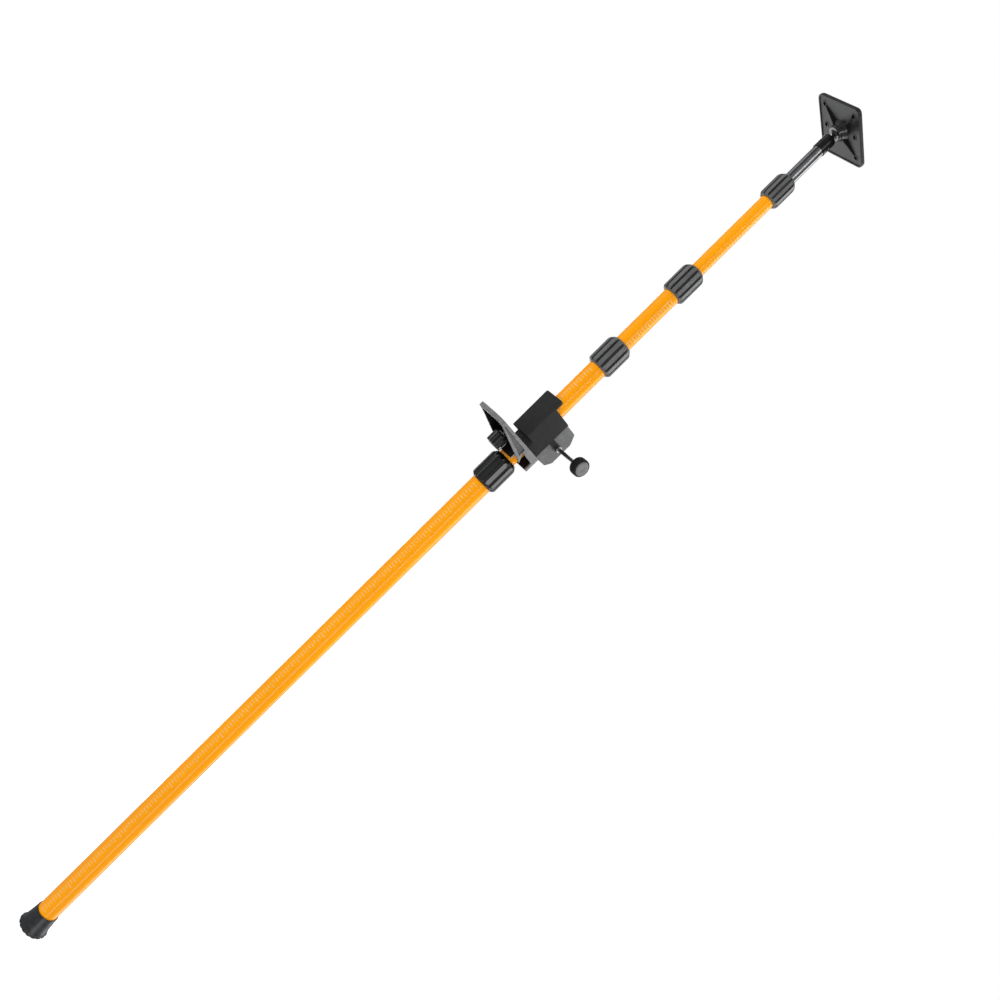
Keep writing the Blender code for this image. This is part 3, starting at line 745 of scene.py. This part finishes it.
def grip_pad(surfaces):
    """A rubber sheet with square rings of tread on its upper face."""
    low, high, half, corner = 9.8, 11.8, 43.5, 8.0
    land, groove, depth = 3.4, 1.2, 0.7
    levels = [(0.4, low), (0.0, low + 0.4), (0.0, high - 0.4), (0.4, high)]
    inwards = land
    while inwards < half - land - groove:
        levels += [(inwards, high), (inwards + 0.15, high - depth), (inwards + groove - 0.15, high - depth),
                   (inwards + groove, high)]
        inwards += land + groove
    rings = []
    for amount, level in levels:
        outline = soften(square(half - amount), max(0.6, corner - amount), 6)
        rings.append([Vector((a, b, level)) for a, b in outline])
    obj = smooth(mesh_object("head_pad", moved(loft(rings), plate_pose())))
    add_piece(obj, surfaces["pad"], "pad_rubber", "plate", "grip_pad")


# ---------------------------------------------------------------- clamp bracket


def screw_line():
    """Height and depth of the clamp screw, from its knob."""
    low, high = edges("clamp_knob")
    return (low.y + high.y) / 2, (low.z + high.z) / 2


def clamp_block(surfaces):
    """The split block with its raised front wall and narrow neck, bored for the liner."""
    low, high = edges("clamp_body")
    _, liner = edges("clamp_liner")
    half = high.x
    bore = liner.x + GAP
    bottom, body_top, wall_top = low.z, liner.z + 3.0, high.z
    wall_front, front, back = low.y, low.y + 4.0, BLOCK_BACK
    neck_top, slit, cut = bottom + 10.2, CLAMP_SLIT, 11.8
    face = wall_front + 0.2
    block = [(half, back, 1.5), (-half, back, 1.5), (-half, face, 1.2), (half, face, 1.2)]
    base = slab(block, neck_top, body_top, edge=0.8)
    neck = [(half, back, 1.5), (-half, back, 1.5), (-half, front + cut, 1.5), (cut - half, front, 1.5),
            (half - cut, front, 1.5), (half, front + cut, 1.5)]
    wall = [(-half, neck_top, 0.8), (half, neck_top, 0.8), (half, wall_top, 5.5), (-half, wall_top, 3.0)]
    split = [(-slit, 0.0), (slit, 0.0), (slit, back + 5.0), (-slit, back + 5.0)]
    steps = [
        (slab(neck, bottom, neck_top + 2.0, edge=0.5), "UNION"),
        (slab(wall, wall_front, front, "Y", 0.7, steps=6), "UNION"),
        (slab(split, bottom - 5.0, wall_top, edge=0.0, radius=0.2), "DIFFERENCE"),
        (rod(bore, bottom - 5.0, wall_top + 5.0, 96), "DIFFERENCE"),
    ]
    for node in ("platform_screw_left", "platform_screw_right"):
        screw_low, screw_high = edges(node)
        middle = (screw_low + screw_high) / 2
        drill = rod(1.6, bottom - 2.0, screw_high.z + 1.0, 16)
        steps.append((moved(drill, Matrix.Translation((middle.x, middle.y, 0.0))), "DIFFERENCE"))
    obj = combined("clamp_block", base, *steps)
    add_piece(obj, surfaces["block"], "clamp_black", "clamp", "clamp_body")


def clamp_ears(surfaces):
    """The two ears at the back, a boss on the knob's side, and the screw hole through both."""
    low, high = edges("clamp_body")
    y, z = screw_line()
    near, back = BLOCK_BACK - 3.0, high.y
    outer, bottom = 17.0, low.z + 1.7
    top = bottom + 62.5
    outline = [
        (near, bottom, 0.5), (back - 8.0, bottom, 2.0), (back, bottom + 11.0, 2.0),
        (back, top - 14.0, 2.0), (back - 9.0, top, 2.0), (near, top, 0.5),
    ]
    boss_near, boss_far, boss_half = BLOCK_BACK - 2.0, y + 5.0, 4.0
    boss = [
        (boss_near, z - boss_half, 1.2), (boss_far, z - boss_half, 1.5),
        (boss_far, z + boss_half, 1.5), (boss_near, z + boss_half, 1.2),
    ]

    def drilled(name, base):
        return combined(name, base, (around_x(rod(SCREW_HOLE, -40.0, 40.0), y, z), "DIFFERENCE"))

    for side, name in ((1, "clamp_ear_near"), (-1, "clamp_ear_far")):
        ends = sorted((side * CLAMP_SLIT, side * outer))
        ear = drilled(name, slab(outline, ends[0], ends[1], "X", 0.9))
        # The ears take the lighter grey: painted light on their sides toward the key light.
        add_piece(ear, surfaces["ears"], "clamp_black", "clamp", "clamp_body")
    pad = drilled("clamp_boss", slab(boss, outer + 0.1, high.x, "X", 0.6))
    add_piece(pad, surfaces["block"], "clamp_black", "clamp", "clamp_body")


def clamp_screw(surfaces):
    """A rod with a shoulder, threaded where it passes the far ear and the nut."""
    low, high = edges("clamp_screw")
    y, z = screw_line()
    _, washer = edges("clamp_washer")
    radius = SCREW_RADIUS
    root = radius - 0.4
    flange, shoulder = 5.0, washer.x + GAP
    shoulder_end = shoulder + 2.2
    profile = [(0.3, low.x), (radius - 0.7, low.x), (radius, low.x + 0.7)]
    for k in range(int(THREAD_END - low.x - 1.0)):
        start = low.x + 1.0 + k
        profile += [(radius, start), (radius, start + 0.25), (root, start + 0.5), (root, start + 0.75)]
    profile += [
        (radius, THREAD_END), (radius, shoulder),
        (flange - 0.3, shoulder), (flange, shoulder + 0.3),
        (flange, shoulder_end - 0.3), (flange - 0.3, shoulder_end),
        (radius, shoulder_end), (radius, high.x - 0.4), (root, high.x), (0.3, high.x),
    ]
    obj = smooth(mesh_object("clamp_screw_rod", around_x(turned(profile, 40, hollow=False), y, z)))
    add_piece(obj, surfaces["screw"], "bright_steel", "clamp_screw", "clamp_screw")


def clamp_knob(surfaces):
    """A knurled black knob with a lighter end cap set into it."""
    low, high = edges("clamp_knob")
    y, z = screw_line()
    radius = (high.z - low.z) / 2
    bottom, top = low.x, high.x
    ribs = 30
    count = ribs * 8
    face = radius - 2.6

    def knurled(scale, depth, at):
        return scalloped(radius * scale, depth, ribs, at)

    rings = [
        circle(3.1, bottom + 8.0, count),
        circle(3.1, bottom + 0.3, count),
        circle(3.4, bottom, count),
        circle(radius - 4.2, bottom, count),
        circle(radius - 3.4, bottom + 0.3, count),
        knurled(0.93, 0.2, bottom + 1.5),
        knurled(0.985, 0.55, bottom + 2.5),
        knurled(1.0, 0.7, bottom + 3.4),
        knurled(1.0, 0.7, top - 2.0),
        knurled(0.985, 0.5, top - 1.2),
        circle(radius - 1.2, top - 0.35, count),
        circle(face + 0.5, top - 0.2, count),
        circle(face + 0.2, top - 0.9, count),
    ]
    obj = smooth(mesh_object("clamp_knob_grip", around_x(loft(rings), y, z)), 46.0)
    add_piece(obj, surfaces["knob"], "knob_black", "clamp_screw", "clamp_knob")
    under = top - 1.3
    outline = ((0.3, under), (face, under), (face, top - 0.3, 0.3), (face - 1.6, top, 0.5), (0.3, top))
    cap = turned(outline, 96, hollow=False, soft=0.1)
    obj = smooth(mesh_object("clamp_knob_face", around_x(cap, y, z)))
    add_piece(obj, surfaces["knob_face"], "knob_black", "clamp_screw")


def upright(near, far, top, bottom):
    """A rectangle in the (y, z) plane."""
    return [(near, top), (near, bottom), (far, bottom), (far, top)]


def platform(surfaces):
    """The deck with its lip, tapering side flanges with framed webs, cross rib and holes."""
    low, high = edges("platform")
    _, liner = edges("clamp_liner")
    stud_low, stud_high = edges("instrument_stud")
    half, front, back, top = high.x, low.y, high.y, high.z
    under, lip, flange_bottom, rib_bottom = top - 4.0, top - 7.0, low.z + 3.0, low.z
    wall = PLATFORM_WALL
    web = half - WEB_DEPTH
    outer = [(half, back, 2.0), (-half, back, 2.0), (-half, front, 14.0), (half, front, 14.0)]
    inner = [(half - wall, back - wall, 1.0), (wall - half, back - wall, 1.0),
             (wall - half, front + wall, 11.0), (half - wall, front + wall, 11.0)]
    base = slab(outer, lip, top, edge=0.9, steps=12)
    steps = [(slab(inner, lip - 2.0, under, edge=0.0, steps=12), "DIFFERENCE")]
    rear = back - 0.6
    flange = [(rear, under + 1.0, 0.3), (rear, flange_bottom, 1.0), (-3.0, flange_bottom, 3.0),
              (-77.0, lip + 0.4, 0.5), (-77.0, under + 1.0, 0.3)]
    panel = [(-14.5, top - 5.3), (-72.0, top - 4.3), (-72.0, top - 5.2), (-14.5, top - 16.6)]
    notch = [
        (13.0, rib_bottom - 4.0), (13.0, top - 11.5), (-13.2, top - 10.0),
        (-9.5, top - 16.5), (0.5, rib_bottom - 4.0),
    ]
    rib = upright(-22.0, -19.2, under + 1.0, rib_bottom)
    back_wall = upright(rear - 2.4, rear, under + 1.0, flange_bottom)
    for side in (-1, 1):
        ends = sorted((side * (half - wall), side * (half - 0.05)))
        steps.append((slab(flange, ends[0], ends[1], "X", 0.7), "UNION"))
    for shape in (rib, back_wall):
        steps.append((slab(shape, 2.0 - half, half - 2.0, "X", 0.0, 0.5, 2), "UNION"))
    for side in (-1, 1):
        ends = sorted((side * web, side * (half + 4.0)))
        steps.append((slab(panel, ends[0], ends[1], "X", 0.0, 0.5), "DIFFERENCE"))
        ends = sorted((side * (half - wall - 2.0), side * (half + 4.0)))
        steps.append((slab(notch, ends[0], ends[1], "X", 0.0, 1.2), "DIFFERENCE"))
    holes = [(0.0, 0.0, liner.x + GAP), (0.0, (stud_low.y + stud_high.y) / 2, 3.5)]
    for node in ("platform_screw_left", "platform_screw_right"):
        screw_low, screw_high = edges(node)
        holes.append(((screw_low.x + screw_high.x) / 2, (screw_low.y + screw_high.y) / 2, 1.7))
    for x, y, radius in holes:
        hole = rod(radius, under - 5.0, top + 3.0, 64)
        steps.append((moved(hole, Matrix.Translation((x, y, 0.0))), "DIFFERENCE"))
    obj = combined("platform_deck", base, *steps)
    # Faces under the deck, on the flanges' insides, the cross rib and the back wall take the near-black
    # second material: painted shade.
    nose, side, sill = front + wall - 0.2, half - wall + 0.2, lip + 0.4
    for face in obj.data.polygons:
        x, y, z = face.center / MM
        below = z < under + 0.1 and nose < y < rear - 0.3
        if below and abs(x) < side and (z > sill or y > -80.0):
            face.material_index = 1
        # The recessed web panels take the darker third material: painted shade in the recess.
        elif abs(abs(x) - web) < 0.1 and abs(face.normal.x) > 0.9:
            face.material_index = 2
    add_piece(obj, surfaces["platform"], "platform_grey", "clamp", "platform",
              others=(surfaces["inside"], surfaces["web"]))


def instrument_knob(surfaces):
    """A ribbed thumb knob, dished underneath."""
    low, high = edges("instrument_knob")
    middle = (low + high) / 2
    radius = (high.y - low.y) / 2
    bottom, top = low.z, high.z
    ribs, bore = 14, 3.5
    count = ribs * RIB_POINTS

    def grip(scale, depth, z):
        return ribbed(radius * scale, depth, ribs, z, 0.34, 0.1)

    rings = [
        circle(radius - 4.6, bottom + 0.9, count),
        circle(radius - 3.9, bottom, count),
        circle(radius - 2.4, bottom, count),
        grip(0.93, 0.5, bottom + 0.5),
        grip(0.985, 1.0, bottom + 1.4),
        grip(1.0, 1.2, bottom + 2.4),
        grip(1.0, 1.2, top - 2.4),
        grip(0.985, 1.0, top - 1.3),
        grip(0.93, 0.5, top - 0.4),
        circle(radius - 2.4, top, count),
        circle(bore + 0.3, top, count),
        circle(bore, top - 0.3, count),
        circle(bore, bottom + 9.0, count),
    ]
    bm = moved(loft(rings), Matrix.Translation((middle.x, middle.y, 0.0)))
    obj = smooth(mesh_object("instrument_knob_grip", bm), 46.0)
    shade_grooves(obj, count, 3, 8, GROOVE_SIDES, RIB_POINTS)
    add_piece(obj, surfaces["ribs"], "knob_black", "instrument_screw", "instrument_knob",
              others=(surfaces["groove"],))


def instrument_stud(surfaces):
    """A quarter-inch stud, 20 threads to the inch, with its thread turned as fine rings."""
    low, high = edges("instrument_stud")
    middle = (low + high) / 2
    radius = high.x
    profile = [(0.2, low.z), (radius, low.z), (radius, high.z - 14.0)]
    for k in range(9):
        z = high.z - 13.4 + k * INCH_PITCH
        profile += [(radius, z), (radius, z + 0.2), (radius - 0.5, z + 0.6), (radius - 0.5, z + 0.85)]
    profile += [(radius, high.z - 1.4), (radius, high.z - 1.0), (radius - 0.7, high.z), (0.2, high.z)]
    bm = moved(turned(profile, 48, hollow=False), Matrix.Translation((middle.x, middle.y, 0.0)))
    add_piece(smooth(mesh_object("instrument_stud_thread", bm)), surfaces["steel"], "bright_steel",
              "instrument_screw", "instrument_stud")


# ---------------------------------------------------------------- CAD nodes that stay


def dress_nodes(surfaces):
    """Procedural finishes for the CAD nodes that keep their own mesh."""
    kept = {
        "inner": ["spring_seat", "rod_guide_bush", "clamp_liner"]
                 + [f"lock_{k}_collet" for k in (1, 2, 3, 4)] + [f"guide_bush_{k}" for k in (2, 3, 4)],
        "steel": ["ball_retainer", "pressure_spring", "thrust_washer"],
        "dull": ["clamp_washer", "clamp_nut", "platform_screw_left", "platform_screw_right"],
        "gloss": ["ball_stud"],
    }
    for key, names in kept.items():
        for name in names:
            for slot in frame["nodes"][name].material_slots:
                slot.material = surfaces[key]


# ---------------------------------------------------------------- stage


def light(name, azimuth, distance, low, high, width, radiance, seen=True):
    """A soft box facing the pole, from one height to another. Only a seen one shows in reflections."""
    tall, height = high - low, (low + high) / 2
    lamp = bpy.data.lights.new(name, "AREA")
    lamp.shape = "RECTANGLE"
    lamp.size, lamp.size_y = width, tall
    lamp.energy = math.pi * width * tall * radiance
    obj = bpy.data.objects.new(name, lamp)
    angle = math.radians(azimuth)
    obj.location = (distance * math.cos(angle), distance * math.sin(angle), height)
    aim = Vector((0.0, 0.0, height)) - obj.location
    obj.rotation_euler = aim.to_track_quat("-Z", "Y").to_euler()
    obj.visible_camera = False
    obj.visible_glossy = seen
    bpy.context.scene.collection.objects.link(obj)


def world():
    """Even room light, with a white sweep where the camera looks past the floor."""
    made = bpy.data.worlds.new("studio")
    made.use_nodes = True
    nodes, links = made.node_tree.nodes, made.node_tree.links
    room = nodes["Background"]
    room.inputs["Color"].default_value = (0.96, 0.98, 1.0, 1.0)
    room.inputs["Strength"].default_value = 0.42
    sweep = nodes.new("ShaderNodeBackground")
    sweep.inputs["Color"].default_value = (1.0, 1.0, 1.0, 1.0)
    sweep.inputs["Strength"].default_value = 1.0
    path = nodes.new("ShaderNodeLightPath")
    mix = nodes.new("ShaderNodeMixShader")
    links.new(path.outputs["Is Camera Ray"], mix.inputs[0])
    links.new(room.outputs["Background"], mix.inputs[1])
    links.new(sweep.outputs["Background"], mix.inputs[2])
    links.new(mix.outputs["Shader"], nodes["World Output"].inputs["Surface"])
    bpy.context.scene.world = made


def floor():
    """A pale sweep that leaves the light on the object as it is."""
    bm = bmesh.new()
    bmesh.ops.create_grid(bm, x_segments=4, y_segments=4, size=6000.0)
    obj = mesh_object("floor", bm)
    pale = Surface("floor_pale", 0.9)
    pale.colours(pale.noise(400.0, 2.0), (0.86, 0.86, 0.86), (0.9, 0.9, 0.9))
    pale.shader.inputs["Emission Color"].default_value = (1.0, 1.0, 1.0, 1.0)
    pale.shader.inputs["Emission Strength"].default_value = 0.75
    obj.data.materials.append(pale.material)
    obj.visible_diffuse = False
    obj.visible_glossy = False
    obj.visible_shadow = False


def camera():
    """Seen level with the bracket, rolled so that the pole lies across the picture."""
    data = bpy.data.cameras.new("camera")
    data.lens = LENS
    data.sensor_width = 36.0
    obj = bpy.data.objects.new("camera", data)
    back = Vector((math.sin(VIEW_AZIMUTH), -math.cos(VIEW_AZIMUTH), 0.0))
    side = Vector((math.cos(VIEW_AZIMUTH), math.sin(VIEW_AZIMUTH), 0.0))
    up = Vector((0.0, 0.0, 1.0))
    right_axis = up * math.sin(POLE_LEAN) + side * math.cos(POLE_LEAN)
    up_axis = up * math.cos(POLE_LEAN) - side * math.sin(POLE_LEAN)
    turn = Matrix((right_axis, up_axis, back)).transposed().to_4x4()
    target = side * VIEW_SIDE + up * VIEW_HEIGHT
    obj.matrix_world = Matrix.Translation(target + back * VIEW_DISTANCE) @ turn
    bpy.context.scene.collection.objects.link(obj)
    bpy.context.scene.camera = obj


def studio():
    world()
    floor()
    camera()
    floor_side, ceiling_side = -2.6, 3.6
    light("key_right", 64.0, 1.7, 0.65, ceiling_side, width=1.2, radiance=3.4)
    light("low_right", 76.0, 2.2, floor_side, 0.6, width=1.3, radiance=2.0)
    light("strip_front", -14.0, 1.8, floor_side, ceiling_side, width=0.44, radiance=4.6)
    light("fill_left", -114.0, 2.2, 1.25, ceiling_side, width=2.1, radiance=1.8, seen=False)
    light("edge_left", -128.0, 2.2, 1.25, ceiling_side, width=0.9, radiance=0.9)
    light("low_left", -116.0, 2.2, floor_side, 1.25, width=1.9, radiance=1.4, seen=False)
    light("back", 150.0, 2.2, -1.0, 3.0, width=0.8, radiance=2.5)
    bpy.context.scene.view_settings.view_transform = "Standard"


def build():
    surfaces = make_surfaces()
    foot(surfaces)
    for stage, node in enumerate(TUBES):
        tube(surfaces, node, TUBE_BODIES[stage])
        scale_marks(surfaces, stage)
        collar(surfaces, stage)
    fluted_rod(surfaces)
    end_sleeve(surfaces)
    ceiling_plate(surfaces)
    ball_housing(surfaces)
    grip_pad(surfaces)
    clamp_block(surfaces)
    clamp_ears(surfaces)
    clamp_screw(surfaces)
    clamp_knob(surfaces)
    platform(surfaces)
    instrument_knob(surfaces)
    instrument_stud(surfaces)
    dress_nodes(surfaces)
    studio()


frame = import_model()
build()
